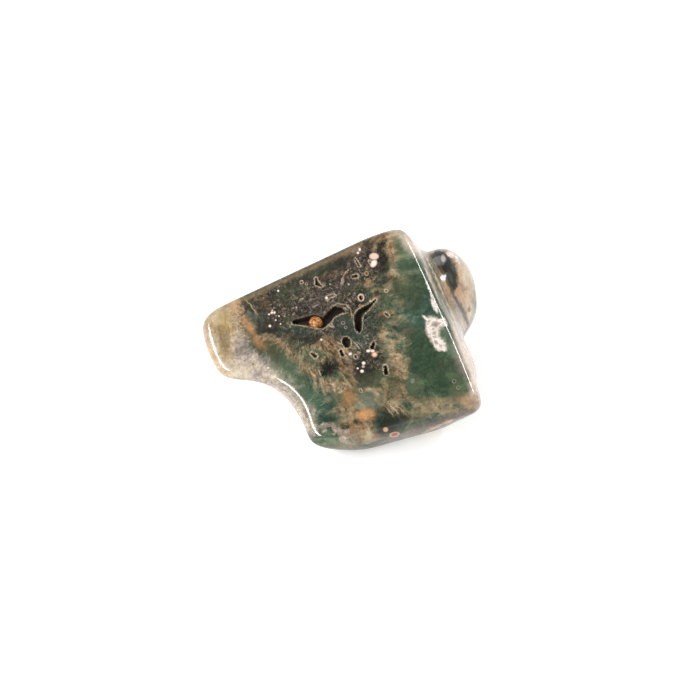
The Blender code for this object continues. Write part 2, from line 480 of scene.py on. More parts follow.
def makePlaceGroup():
    # object place in mm from the heart, and the same laid out as the photograph sees it
    tree, start, end = newGroup("stonePlace", [], [("Place", "Vector"), ("Seen", "Vector")])
    spot = put(tree, "TexCoord").outputs["Object"]
    place = vector(tree, "SUBTRACT", vector(tree, "SCALE", spot, 1 / mm), stone["heart"])
    across = plus(tree, vector(tree, "DOT_PRODUCT", place, tuple(viewRight)), look["side"][0])
    upward = plus(tree, vector(tree, "DOT_PRODUCT", place, tuple(viewUp)), look["side"][1])
    toward = vector(tree, "DOT_PRODUCT", place, tuple(viewBack))
    scale = number(tree, "DIVIDE", look["distance"], minus(tree, look["distance"], toward))
    a = minus(tree, times(tree, across, scale), look["side"][0])
    b = minus(tree, times(tree, upward, scale), look["side"][1])
    below = minus(tree, mainReach, vector(tree, "DOT_PRODUCT", place, tuple(mainNormal)))
    joined = put(tree, "CombineXYZ", {0: a, 1: b, 2: below}).outputs[0]
    tree.links.new(place, end.inputs["Place"])
    tree.links.new(joined, end.inputs["Seen"])
    return tree


def makePatchGroup():
    # one soft-edged egg of a zone, worked out in plain numbers
    names = ("Across", "Up", "Below", "MidAcross", "MidUp", "MidBelow", "Cos", "Sin", "HalfAcross", "HalfUp",
             "HalfBelow", "Slope", "Offset", "Strength", "Ragged", "Grain")
    tree, start, end = newGroup("softPatch", [(name, "Float") for name in names], [("Mask", "Float")])
    given = start.outputs
    dx = minus(tree, given["Across"], given["MidAcross"])
    dy = minus(tree, given["Up"], given["MidUp"])
    dz = minus(tree, given["Below"], given["MidBelow"])
    u = number(tree, "DIVIDE", timesPlus(tree, dx, given["Cos"], times(tree, dy, given["Sin"])), given["HalfAcross"])
    v = number(tree, "DIVIDE", minus(tree, times(tree, dy, given["Cos"]), times(tree, dx, given["Sin"])),
               given["HalfUp"])
    w = number(tree, "DIVIDE", dz, given["HalfBelow"])
    size = number(tree, "SQRT", timesPlus(tree, u, u, timesPlus(tree, v, v, times(tree, w, w))))
    size = timesPlus(tree, minus(tree, given["Grain"], 0.5), given["Ragged"], size)
    mask = eased(tree, timesPlus(tree, size, given["Slope"], given["Offset"]))
    tree.links.new(times(tree, mask, given["Strength"]), end.inputs["Mask"])
    return tree


def makeStreakGroup():
    # fine fibres that run out from a centre
    tree, start, end = newGroup("fibres", [("Seen", "Vector"), ("Centre", "Vector"), ("Fineness", "Float")],
                                [("Value", "Float")])
    off = put(tree, "SeparateXYZ", {0: vector(tree, "SUBTRACT", start.outputs["Seen"], start.outputs["Centre"])})
    angle = number(tree, "ARCTAN2", off.outputs[1], off.outputs[0])
    radius = number(tree, "SQRT", plus(tree, times(tree, off.outputs[0], off.outputs[0]),
                                       times(tree, off.outputs[1], off.outputs[1])))
    place = put(tree, "CombineXYZ", {0: times(tree, angle, start.outputs["Fineness"]),
                                     1: times(tree, radius, 0.55), 2: off.outputs[2]}).outputs[0]
    tree.links.new(noiseOf(tree, place, 1.0, 4.0, 0.6, 0.4), end.inputs["Value"])
    return tree


placeGroup = makePlaceGroup()
patchGroup = makePatchGroup()
streakGroup = makeStreakGroup()

# what the stone is coloured with, in red, green and blue
shades = {
    "black": (16, 17, 14), "charcoal": (36, 37, 31), "soot": (56, 55, 48), "caveShadeBrown": (46, 38, 30),
    "umber": (86, 72, 56), "lilacGrey": (118, 106, 102), "moss": (76, 82, 60), "deepGreen": (50, 70, 50),
    "glassGreen": (68, 90, 66), "brightGreen": (98, 118, 94), "teal": (66, 92, 78), "darkTeal": (34, 58, 48),
    "fern": (94, 106, 80), "paleFern": (138, 144, 118), "tan": (152, 130, 100), "sand": (184, 162, 128),
    "cream": (210, 194, 168), "paleCream": (232, 216, 196), "milk": (244, 236, 226), "orange": (198, 144, 94),
    "rust": (138, 102, 70), "redBrown": (112, 66, 46), "lilac": (164, 150, 142), "paleLilac": (190, 176, 164),
    "olive": (166, 141, 97), "darkOlive": (124, 104, 70), "pink": (240, 206, 190), "snow": (252, 240, 232),
    "stripBrown": (104, 90, 80), "mauve": (84, 76, 72), "greyLilac": (134, 124, 114), "peach": (196, 160, 126),
    "wine": (150, 74, 62), "sidePink": (228, 208, 192), "greyGreen": (110, 116, 98),
}
inks = {name: ink(*shade) for name, shade in shades.items()}

# The stuffs are mottled mixes. A touch is: stuff, how it drifts, softness, raggedness, strength, then eggs seen at
# (x, y, half across, half up, turn in degrees) in dots.
touches = (
    # pale agate of the left end
    ("agate", "combed", 0.3, 0.5, 1.0, (226, 345, 32, 40, 0), (256, 366, 30, 20, -22), (282, 388, 30, 14, -42),
     (306, 412, 9, 24, 14)),
    ("olive", "wild", 0.8, 0.3, 1.0, (222, 323, 17, 19, 40), (227, 350, 8, 15, 20)),
    ("darkOlive", "combed", 0.8, 0.8, 0.55, (225, 342, 4, 12, 18), (247, 332, 9, 9, -30)),
    ("cream", "wild", 0.7, 0.5, 0.6, (236, 372, 20, 9, -14), (212, 352, 7, 22, 22), (214, 312, 8, 12, -40)),
    ("peach", "calm", 0.7, 0.4, 0.7, (209, 352, 5, 20, 24), (222, 374, 9, 5, -35)),
    ("lilac", "combed", 0.9, 0.5, 0.75, (244, 352, 13, 15, -30), (268, 366, 16, 13, -30), (288, 384, 14, 9, -42)),
    ("pebble", "calm", 0.5, 0.5, 0.8, (290, 397, 16, 5, -44), (309, 418, 6, 15, 15), (264, 382, 12, 4, -25)),
    ("peach", "calm", 0.8, 0.3, 1.0, (236, 305, 7, 12, 35), (244, 317, 6, 9, 40)),
    ("darkOlive", "calm", 0.9, 0.5, 0.6, (251, 331, 6, 9, 30)),
    # green fibres round the notch
    ("green", "combed", 0.6, 0.5, 1.0, (292, 366, 18, 14, 0), (312, 388, 18, 26, 35), (328, 408, 14, 18, 0),
     (262, 346, 14, 8, -40)),
    ("moss", "combed", 0.8, 0.4, 1.0, (276, 353, 24, 9, -36), (262, 344, 9, 8, 0)),
    ("brightGreen", "combed", 0.8, 1.0, 0.5, (294, 370, 12, 14, 30), (306, 386, 9, 14, 35)),
    ("teal", "combed", 0.8, 0.6, 0.75, (326, 400, 13, 18, 0), (312, 392, 6, 12, 30)),
    ("darkTeal", "calm", 0.7, 0.5, 0.85, (328, 418, 8, 5, 8), (331, 404, 4, 6, -30)),
    # speckled dark jasper
    ("dark", "wild", 0.32, 0.35, 1.0, (290, 304, 52, 27, 25), (345, 270, 48, 27, 26), (335, 312, 42, 30, 0),
     (365, 356, 19, 38, 0), (376, 262, 16, 24, 4), (292, 330, 36, 15, -10)),
    ("charcoal", "wild", 0.7, 0.6, 0.8, (384, 261, 10, 21, 4), (330, 270, 22, 9, 26), (270, 330, 14, 10, 0),
     (366, 376, 12, 15, 0), (300, 334, 20, 6, -8), (352, 330, 12, 10, 0), (247, 306, 5, 7, 25)),
    ("soot", "wild", 0.9, 0.5, 0.6, (262, 316, 15, 14, 0), (300, 284, 34, 6, 26), (345, 262, 16, 10, 20),
     (345, 322, 10, 14, 0), (318, 318, 14, 5, 20)),
    ("moss", "wild", 0.9, 0.6, 0.5, (290, 292, 14, 7, 20), (320, 268, 14, 5, 26), (356, 286, 10, 6, 10),
     (300, 322, 12, 5, -10)),
    ("teal", "wild", 0.9, 0.5, 0.35, (294, 330, 14, 5, -5), (356, 338, 16, 16, 0), (346, 322, 12, 9, 0)),
    ("mauve", "wild", 0.9, 0.6, 0.3, (318, 302, 22, 9, 10), (340, 288, 16, 9, 20), (268, 285, 22, 3, 26),
     (356, 262, 6, 8, 0)),
    ("rusty", "wild", 0.9, 0.7, 0.4, (262, 300, 4, 10, 0), (352, 250, 12, 5, 25), (330, 276, 8, 3, 20),
     (258, 296, 12, 3, 26)),
    ("tan", "calm", 0.9, 0.7, 0.55, (306, 270.5, 90, 2.2, 24.8)),
    ("greyGreen", "combed", 0.7, 0.7, 0.8, (254, 322, 7, 11, 35), (250, 316, 6, 5, 0)),
    # tan plumes
    ("orange", "calm", 0.95, 0.5, 0.7, (250, 327, 10, 3.5, -55), (259, 341, 9, 4, -50)),
    ("charcoal", "wild", 0.9, 0.5, 0.75, (264, 333, 6, 17, 38), (284, 340, 18, 6, -20), (312, 340, 14, 4, 0)),
    ("hazy", "wild", 0.9, 0.6, 0.6, (296, 348, 26, 7, -16), (318, 350, 16, 8, 0)),
    ("plume", "wild", 0.9, 0.45, 0.8, (274, 341, 15, 3.5, -16), (288, 350, 18, 4, -34), (314, 347, 12, 3.5, 10)),
    ("hazy", "wild", 0.9, 0.6, 0.65, (326, 384, 26, 9, -14), (340, 396, 18, 8, -10), (316, 366, 14, 9, 0)),
    ("plume", "wild", 0.8, 0.5, 0.95, (312, 372, 13, 4, -48), (328, 383.5, 12, 4.5, -4), (346, 389, 12, 4, -34),
     (322, 361, 9, 3.5, 12)),
    ("rusty", "wild", 0.8, 0.5, 1.0, (337, 348, 14, 8, -20), (343, 365, 7, 13, 22), (326, 343, 10, 5, 0),
     (352, 380, 5, 11, 12)),
    ("moss", "wild", 0.9, 0.8, 0.8, (314, 357, 9, 8, 0), (345, 376, 5, 7, 20), (350, 408, 14, 6, -10),
     (338, 393, 10, 4, 0), (362, 388, 10, 10, 0)),
    ("charcoal", "spiky", 0.6, 0.5, 1.0, (329, 369, 9.5, 8, 0)),
    ("black", "spiky", 0.9, 0.8, 0.6, (329, 366, 5, 6, 0), (323, 374, 6, 3, 40)),
    ("plume", "wild", 0.8, 0.6, 0.9, (394, 252, 5, 22, -3), (384, 238, 17, 5, 22), (392, 276, 4, 12, 0)),
    ("hazy", "wild", 0.9, 0.5, 0.75, (388, 288, 14, 15, 0), (397, 272, 7, 10, 0), (378, 300, 9, 9, 0)),
    ("moss", "wild", 0.9, 0.7, 0.5, (388, 292, 10, 14, 0), (398, 312, 8, 14, 0)),
    ("rusty", "calm", 0.8, 0.5, 0.9, (367, 243, 4.5, 4, 0), (369, 284, 4, 3.5, 0), (376.5, 294, 3.2, 6, 0),
     (387, 315, 7, 4, 0)),
    ("hazy", "wild", 0.9, 0.6, 0.55, (396, 334, 12, 18, -5), (384, 336, 5, 14, 8), (402, 310, 8, 12, 0)),
    ("hazy", "wild", 0.9, 0.7, 0.55, (398, 372, 13, 28, 0), (388, 390, 7, 15, 0)),
    ("plume", "wild", 0.8, 0.6, 0.85, (384, 333, 2.8, 10, 12), (391, 348, 2.8, 8, -8)),
    ("rusty", "wild", 0.8, 0.5, 0.85, (397, 376, 7, 17, -4), (402, 397, 9, 7, 0)),
    ("plume", "calm", 0.8, 0.6, 0.95, (396, 357, 5.4, 5.4, 30), (406, 370, 2.8, 12, -10), (404, 387, 2.6, 9, 12),
     (386.5, 393, 2.8, 11, 8)),
    ("moss", "wild", 0.9, 0.8, 0.75, (394, 382, 6, 12, 0), (411, 398, 9, 12, 0), (378, 384, 8, 14, 0)),
    ("plume", "calm", 0.7, 0.5, 0.95, (396, 409, 14, 5, -36), (386, 404, 6, 6, 0)),
    ("greyGreen", "wild", 0.7, 0.7, 0.8, (365, 401, 12, 8, 0), (352, 416, 12, 8, 0)),
    ("plume", "calm", 0.6, 1.0, 0.7, (372, 390, 12, 2.5, 0), (376, 396, 3, 8, 10)),
    ("hazy", "wild", 0.9, 0.6, 0.7, (354, 412, 18, 16, 0)),
    ("greyGreen", "wild", 0.9, 0.7, 0.5, (372, 404, 12, 8, 0), (364, 396, 8, 4, 0)),
    ("rusty", "wild", 0.9, 0.4, 0.95, (355, 430, 13, 11, 20), (366, 436, 13, 7, 10), (346, 410, 8, 8, 0)),
    ("plume", "calm", 0.8, 0.8, 0.75, (367, 425, 6.5, 6, 0), (370, 438, 8, 4, 10)),
    ("tan", "calm", 0.7, 0.6, 0.7, (374, 438, 9, 4, 15), (344, 446, 18, 2.5, -2)),
    ("orange", "calm", 0.95, 0.6, 0.65, (350, 398, 6, 6, -20)),
    ("orange", "calm", 0.7, 0.25, 1.0, (366, 414.5, 9.5, 5, 4)),
    ("charcoal", "wild", 0.9, 0.6, 0.85, (391, 421, 13, 9, 14), (380, 419, 7, 8, 0), (406, 418, 8, 4, 20)),
    ("green", "calm", 0.5, 0.4, 0.9, (326, 438, 15, 8, -10)),
    ("moss", "wild", 0.9, 0.6, 0.55, (336, 444, 16, 6, -8)),
    ("brightGreen", "calm", 0.8, 0.6, 0.4, (326, 436, 9, 5, -10)),
    ("pebble", "wild", 0.7, 0.9, 0.85, (320, 427.5, 12, 2.4, 4), (337, 430.5, 9, 2.6, -28), (347, 439, 5, 6, 30),
     (315, 432, 3, 3, 0)),
    # right half of the main face
    ("fern", "wild", 0.7, 0.7, 0.85, (406, 244, 14, 13, -20), (398, 260, 5, 18, 0)),
    ("brightGreen", "calm", 0.8, 0.8, 0.3, (406, 246, 8, 8, 0)),
    ("plume", "wild", 0.8, 0.5, 0.9, (392.5, 256, 4.5, 24, -3), (386, 238, 14, 4.5, 18)),
    ("cream", "calm", 0.7, 0.9, 0.6, (400, 234, 12, 3.5, -10), (411, 243, 2.5, 9, 28)),
    ("glassGreen", "banded", 0.7, 0.5, 0.85, (406, 265, 14, 6, 0)),
    ("paleFern", "banded", 0.8, 0.8, 0.55, (412, 272, 10, 2.5, 10), (408, 256, 12, 2, 5)),
    ("teal", "wild", 0.7, 0.5, 0.85, (430, 308, 10, 13, 20), (414, 320, 12, 12, 0)),
    ("darkTeal", "wild", 0.9, 0.7, 0.6, (419, 297, 7, 12, 10), (413, 362, 7, 16, 0), (431, 311, 6, 9, 20),
     (444, 384, 8, 6, 20)),
    ("moss", "wild", 0.8, 0.7, 0.7, (408, 288, 12, 14, 0), (440, 370, 12, 9, 10)),
    ("umber", "wild", 0.9, 0.5, 0.6, (410, 333, 8, 8, 0)),
    ("deepGreen", "wild", 0.7, 0.6, 0.8, (425, 360, 18, 20, 0), (444, 378, 18, 12, 20), (418, 342, 10, 12, 0)),
    ("fern", "wild", 0.7, 0.8, 0.7, (460, 388, 8, 11, 20), (454, 376, 5, 5, 0), (414, 384, 7, 9, 0)),
    ("hazy", "wild", 0.9, 0.3, 0.8, (440, 408, 36, 8, 6), (416, 404, 14, 9, 0)),
    ("tan", "calm", 0.9, 0.5, 0.6, (425, 411, 10, 5, 20), (452, 412, 16, 3, -12), (440, 401, 20, 3, 0),
     (462, 400, 10, 5, 0)),
    ("peach", "calm", 0.9, 0.3, 0.8, (472, 402, 8, 7, 0), (478, 394, 3, 11, 0)),
    ("crackle", "calm", 0.2, 0.2, 1.0, (435.5, 331, 9, 15, 20), (440.5, 345.5, 8, 5.5, -20), (444, 322, 7, 4.5, 0)),
    ("crackle", "still", 0.3, 0.1, 1.0, (426, 318.4, 5, 1.3, -38)),
    # painted highlight: white where the ridge's glint widens at a small nick, and a thin glint line above it
    ("snow", "calm", 0.4, 0.4, 0.95, (434.5, 305.5, 2.2, 7.5, 24), (430, 292, 0.8, 10, 22)),
    ("brightGreen", "calm", 0.6, 0.4, 0.9, (443.8, 333.5, 4.4, 7.4, 16), (450.5, 347, 4.4, 8, 22)),
    ("glassGreen", "calm", 0.8, 0.4, 0.7, (443, 334, 3, 5, 16)),
    ("lilacGrey", "calm", 0.6, 0.4, 0.75, (435.5, 324.6, 3.4, 3.4, 30), (436.2, 342.4, 1.5, 2.4, 30),
     (440.6, 345.6, 2.2, 1.3, -30)),
    # near strip under the main face
    ("strip", "calm", 0.35, 0.3, 1.0, (410, 436, 40, 8, 18), (452, 421, 32, 8, 22), (386, 445, 30, 5, 12)),
    # charcoal: the eggs along the bottom edge are partly dark stone and partly painted contact shade where it meets the
    # floor
    ("charcoal", "calm", 0.8, 0.3, 0.9, (362, 450, 34, 4.5, 8), (400, 443, 24, 3.5, 16), (386, 430, 12, 6, 16)),
    ("umber", "wild", 0.9, 0.6, 0.5, (440, 422, 30, 5, 20), (416, 428, 18, 6, 18)),
    ("peach", "calm", 0.9, 1.0, 0.7, (433, 428.5, 12, 1.0, 25), (449, 421.6, 5, 1.3, 20)),
)

# the narrow side beyond the ridge and the swelling behind it
sideTouches = (
    ("sidePink", "calm", 0.7, 0.4, 0.95, (413, 243, 8, 15, 42), (468, 352, 13, 32, 14), (476, 388, 6, 20, 8)),
    ("tan", "calm", 0.7, 0.5, 0.7, (446, 292, 4, 14, 25), (474, 402, 6, 9, 0)),
    ("peach", "wild", 0.6, 0.4, 0.95, (462, 280, 20, 34, 16)),
    ("cream", "wild", 0.7, 0.8, 0.7, (466, 272, 7, 14, 10), (452, 250, 12, 3.5, -14), (470, 318, 8, 10, 0)),
    ("orange", "wild", 0.8, 0.7, 0.6, (461, 291, 6, 5, 0), (460, 276, 4, 7, 0)),
    ("rust", "wild", 0.7, 0.9, 0.7, (462, 286, 5, 4, 0)),
    ("charcoal", "calm", 0.25, 0.15, 1.0, (439, 257, 7, 7, 0), (444, 263, 8, 12, 28), (450, 272, 7, 13, 20),
     (453, 284, 4.6, 7, 10)),
    ("black", "calm", 0.9, 0.2, 0.8, (444, 265, 7, 14, 28)),
    ("moss", "calm", 0.6, 0.8, 0.8, (454, 267, 2.4, 6, 15), (450, 277, 2, 6, 25)),
    ("paleLilac", "still", 0.4, 0.2, 0.85, (443.2, 258.4, 2.2, 3.6, 5)),
    # painted highlight: white glare along the top edge of the swelling
    ("snow", "calm", 0.4, 0.5, 0.9, (450.4, 254.6, 4.4, 2.6, -32), (457.5, 260, 1.6, 5, 28)),
    ("charcoal", "calm", 0.5, 0.5, 0.8, (461, 309, 3, 11, 28), (466, 320, 1.8, 8, 22)),
    ("lilac", "calm", 0.6, 0.5, 0.7, (456.5, 308, 3, 16, 25)),
    ("umber", "calm", 0.5, 0.3, 0.85, (449, 285, 1.5, 40, 25.5)),
    ("redBrown", "still", 0.5, 0.4, 0.85, (469, 309.5, 1.5, 2.8, -10)),
)

# round spots: (x, y, half across, half up, turn), rim ink, core ink
orbs = (
    ((374, 256.4, 4.6, 3.3, 0), "pink", "pink"), ((373.6, 263.6, 3.0, 4.2, -35), "pink", "snow"),
    ((359.6, 249.6, 1.6, 2.0, 0), "lilac", "milk"), ((357.8, 253, 1.6, 1.4, 0), "lilac", "milk"),
    ((278.2, 291, 1.3, 1.3, 0), "lilac", "snow"), ((271.8, 312.8, 1.9, 1.6, 30), "rust", "snow"),
    ((269.0, 314.4, 1.5, 1.2, 0), "rust", "milk"), ((274.4, 312.6, 1.3, 1.3, 0), "pink", "milk"),
    ((272.2, 310.6, 1.2, 1.0, 0), "rust", "pink"), ((269.8, 326.1, 1.8, 1.7, 0), "rust", "snow"),
    ((278.8, 316.2, 1.2, 1.0, 0), "rust", "milk"), ((275.6, 320.2, 1.1, 1.0, 0), "rust", "milk"),
    ((280.4, 324, 1.0, 1.0, 0), "rust", "milk"), ((276, 316, 0.7, 0.6, 0), "rust", "pink"),
    ((321.2, 339.8, 1.4, 1.4, 0), "lilac", "milk"), ((368.2, 351, 2.1, 1.5, 0), "pink", "snow"),
    ((372.4, 351, 2.1, 1.4, 0), "pink", "milk"), ((374.4, 354.6, 3.0, 2.8, 0), "orange", "pink"),
    ((350.2, 354, 2.2, 1.7, 25), "lilac", "milk"), ((363.6, 363.2, 1.9, 1.7, 0), "pink", "snow"),
    ((363.2, 366.6, 1.7, 1.4, 0), "lilac", "paleLilac"), ((362, 371.2, 1.9, 1.7, 0), "pink", "snow"),
    ((357.6, 368.4, 1.3, 1.1, 0), "lilac", "milk"), ((361, 297.4, 3.2, 3.6, 10), "pink", "redBrown"),
    ((326.4, 298, 1.7, 1.9, 0), "lilac", "milk"), ((385.6, 429.6, 2.6, 2.4, 0), "orange", "peach"),
    ((348.6, 284.4, 1.1, 1.1, 0), "lilac", "paleLilac"), ((330, 284.4, 1.0, 1.0, 0), "greyGreen", "paleLilac"),
    ((296.4, 307.4, 1.0, 1.0, 0), "lilac", "paleLilac"), ((394.5, 434.6, 5.2, 2.6, 10), "peach", "wine"),
    ((386.2, 290.8, 2.0, 1.8, 0), "sand", "charcoal"), ((366.4, 273.6, 2.2, 2.4, 0), "sand", "redBrown"),
    ((306.4, 284, 1.6, 1.4, 0), "sand", "umber"), ((343, 323, 2.0, 1.8, 0), "lilac", "soot"),
    ((345.6, 327.4, 1.5, 1.6, 0), "lilac", "soot"), ((355.6, 356.6, 2.2, 2.2, 0), "rust", "soot"),
    ((252.8, 364.2, 1.6, 1.5, 0), "sand", "rust"), ((454, 381.4, 2.2, 2.0, 0), "paleFern", "soot"),
    ((458.2, 387.6, 2.0, 1.8, 0), "paleFern", "umber"), ((370.2, 301.2, 1.0, 1.0, 0), "cream", "cream"),
    ((360, 305.8, 1.5, 1.4, 0), "peach", "redBrown"), ((412.6, 381, 1.6, 2.4, -20), "paleFern", "greyGreen"),
    ((268, 368, 1.7, 1.0, 10), "paleLilac", "milk"),
)

# thin lines by ink: two ends and half width in dots
threads = {
    "deepGreen": ((424, 256, 435, 281, 0.7), (435, 281, 442, 297, 0.6), (429, 262, 438, 277, 0.7),
        (443.5, 292, 451, 308, 0.6), (433, 281, 446, 307, 0.5)),
    "moss": ((442, 297, 451, 316, 0.6), (426, 265, 433, 281, 0.5)),
    "greyGreen": ((438, 277, 443.5, 292, 0.5),),
    "paleCream": ((427, 259, 437, 280, 0.5), (424.6, 268, 432, 284, 0.7)),
    "cream": ((437, 280, 447, 301, 0.5), (327.6, 299.6, 336, 295.6, 0.5), (327, 296.2, 333.6, 293.4, 0.45),
        (333.6, 293.4, 336.6, 295.2, 0.5), (326.4, 323.6, 333.6, 327.6, 0.5), (330.4, 322.4, 334.6, 327.4, 0.5),
        (332, 307, 338, 303, 0.5), (346, 304.6, 350.4, 309, 0.5), (341, 307.4, 347.4, 309.6, 0.45),
        (318.6, 371.6, 323, 377.6, 0.5), (389, 403.6, 398.6, 413.6, 0.5), (353.6, 341.6, 359.4, 348.4, 0.45),
        (337.6, 341.4, 340.6, 344.6, 0.5), (403.4, 339.6, 405.8, 337.6, 0.5), (300, 300, 303.6, 298, 0.5),
        (226.6, 321, 229.6, 326.6, 0.5), (230.6, 324, 234, 321.6, 0.4)),
    "sand": ((447, 301, 455, 318, 0.6), (245.5, 299, 257.5, 314.5, 0.55), (338, 303, 346, 304.6, 0.6),
        (350.4, 309, 352, 317, 0.45), (340, 372.6, 351.6, 385.6, 0.5), (343.6, 378.4, 352.6, 388.4, 0.5),
        (394, 402.6, 406.6, 415, 0.5), (385.6, 406.6, 393.6, 416.6, 0.5), (286, 346.4, 291.6, 352.6, 0.5)),
    "peach": ((340.6, 284, 344.4, 273.6, 0.7), (344.4, 273.6, 349.4, 269, 0.7)),
    "lilac": ((341.8, 286, 343.4, 279, 0.9), (357.6, 342.6, 362.8, 347.6, 0.4), (312, 306.6, 318, 305.6, 0.7)),
    "charcoal": ((322, 375.6, 326, 381.6, 0.45), (341.6, 371.4, 348, 378.4, 0.35)),
    "tan": ((393.6, 362.6, 387, 359.6, 0.4), (392.6, 366, 386, 361.8, 0.4), (312.6, 331, 317, 329, 0.4)),
    "umber": ((390.6, 246, 393.6, 262, 0.4),),
    "fern": ((388.6, 252, 391, 270, 0.5),),
    "paleFern": ((408.6, 345, 411.6, 342.6, 0.45),),
}


def spotsOnSkin(dots):
    # Seen places, with their depth under the main face's plane, of spots on the skin
    rays = np.array([unit(sightLine(*fromDots(x, y))) for x, y in dots])
    reach = np.full(len(rays), look["distance"] - 24.0)  # starts just in front of the stone
    done = np.zeros(len(rays), bool)
    for step in range(260):
        gap = outside(viewer + rays * reach[:, None])
        done |= gap < 0.02
        reach = np.where(done, reach, reach + np.clip(gap * 0.7, 0.03, 0.6))
    points = viewer + rays * reach[:, None]
    depth = np.where(done, mainReach - points @ mainNormal, 0.0)
    return [(*fromDots(x, y), float(d)) for (x, y), d in zip(dots, depth)]


# orbs and lines as eggs, gathered by their ink; cores lie a little off the middle
rims, cores, lines = {}, {}, {}
for (x, y, across, up, turn), rimInk, coreInk in orbs:
    rims.setdefault(rimInk, []).append((x, y, across, up, turn))
    cores.setdefault(coreInk, []).append((x + 0.1, y - 0.1, across * 0.66, up * 0.66, turn + 3))
for inkName, rows in threads.items():
    lines[inkName] = [((x0 + x1) / 2, (y0 + y1) / 2, math.hypot(x1 - x0, y1 - y0) / 2 * 1.15, half,
                       math.degrees(math.atan2(y0 - y1, x1 - x0))) for x0, y0, x1, y1, half in rows]

# where every centre lies on the skin, worked out in one go
centres = [egg[:2] for row in touches + sideTouches for egg in row[5:]]
centres += [egg[:2] for eggsOf in (rims, cores, lines) for eggs in eggsOf.values() for egg in eggs]
centreSpots = dict(zip(centres, spotsOnSkin(centres)))
eggCount = [0]
print("pattern centres found:", len(centreSpots))


def layPatches(tree, seen, eggs, soft, strength, deep, ragged, spread):
    # the union of several eggs as one mask
    total = None
    for x, y, across, up, turn in eggs:
        eggCount[0] += 1  # no two centres share a number, or Cycles keeps too many values in hand at once
        spot = [part + eggCount[0] * 1e-5 for part in centreSpots[(x, y)]]
        angle = math.radians(turn)
        mask = useGroup(tree, patchGroup, {
            "Across": seen[0], "Up": seen[1], "Below": seen[2],
            "MidAcross": spot[0], "MidUp": spot[1], "MidBelow": spot[2], "Cos": math.cos(angle), "Sin": math.sin(angle),
            "HalfAcross": across * dot, "HalfUp": up * dot, "HalfBelow": deep,
            "Slope": -0.5 / soft, "Offset": (1.0 + soft) * 0.5 / soft, "Strength": strength,
            "Ragged": 3.0 * ragged, "Grain": spread}).outputs[0]
        total = mask if total is None else number(tree, "MAXIMUM", total, mask)
    return total


def useMasks(tree, name, rows, field):
    # a group that holds one mask for each row: how it drifts, softness, raggedness, strength, depth, eggs
    kinds = sorted({row[0] for row in rows})
    axes = ("Across", "Up", "Below")
    places = [(kind + axis, "Float") for kind in kinds for axis in axes]
    names = ["mask" + str(at) for at in range(len(rows))]
    group, start, end = newGroup(name, places + [("grain", "Float"), ("fibre", "Float")],
                                 [(label, "Float") for label in names])
    for label, (kind, soft, ragged, strength, deep, eggs) in zip(names, rows):
        spread = start.outputs["fibre" if kind == "combed" else "grain"]
        seen = [start.outputs[kind + axis] for axis in axes]
        group.links.new(layPatches(group, seen, eggs, soft, strength, deep, ragged, spread), end.inputs[label])
    wires = {kind + axis: field["split"][kind][at] for kind in kinds for at, axis in enumerate(axes)}
    node = useGroup(tree, group, {**wires, "grain": field["mixed"], "fibre": field["fibred"]})
    return [node.outputs[label] for label in names]


def paint(tree, colour, field, title, table, deep):
    # zones of a table, laid over each other in its order
    stuffs = {**inks, **field["stuff"]}
    for first in range(0, len(table), 10):
        rows = table[first:first + 10]
        masks = useMasks(tree, title + str(first), [(kind, soft, ragged, strength, deep, eggs)
                                                    for name, kind, soft, ragged, strength, *eggs in rows], field)
        for row, mask in zip(rows, masks):
            colour = blendColour(tree, mask, colour, stuffs[row[0]])
    return colour


def dab(tree, colour, field, title, kind, soft, strength, eggsOf):
    # eggs of plain ink, one mask for each ink
    masks = useMasks(tree, title, [(kind, soft, 0.0, strength, 3.0, eggs) for eggs in eggsOf.values()], field)
    for inkName, mask in zip(eggsOf, masks):
        colour = blendColour(tree, mask, colour, inks[inkName])
    return colour


# noises over the stone: scale, detail, roughness, twist
noises = {
    "wideDrift": (0.4, 4.0, 0.6), "fineDrift": (2.2, 4.0, 0.65),
    "cloud": (0.5, 7.0, 0.64, 0.6), "grain": (2.4, 5.0, 0.72, 0.5), "dust": (6.5, 3.0, 0.65),
    "curls": (0.85, 3.0, 0.55, 1.6), "smallCurls": (2.1, 2.0, 0.5, 1.0), "wisps": (1.3, 4.0, 0.6, 2.2),
    "turns": (0.15, 5.0, 0.52, 0.9), "second": (0.24, 5.0, 0.6, 0.8), "lanes": (1.0, 3.0, 0.6, 0.3),
}
# what the pattern starts from, in dots, and how fine its fibres are
fans = {"notch": ((245, 440), 38.0), "star": ((329, 369), 5.0), "strokes": ((300, 322), 19.0)}
ridge = {"from": (415, 252), "across": (0.923, 0.386, 0), "along": (0.386, -0.923, 0)}
polish = {"roughness": 0.08, "patchy": 0.06, "hollows": 0.6, "index": 1.54, "bump": 0.02, "bumpDepth": 0.0001}


def fan(tree, name, seen):
    dots, fineness = fans[name]
    wires = {"Seen": seen, "Centre": (*fromDots(*dots), 0), "Fineness": fineness}
    return useGroup(tree, streakGroup, wires).outputs[0]


def blown(tree, name, seen, fibres, reach):
    # how far the fibres of a fan reach outwards
    way = vector(tree, "NORMALIZE", vector(tree, "SUBTRACT", seen, (*fromDots(*fans[name][0]), 0)))
    return vector(tree, "SCALE", way, times(tree, minus(tree, fibres, 0.5), reach))


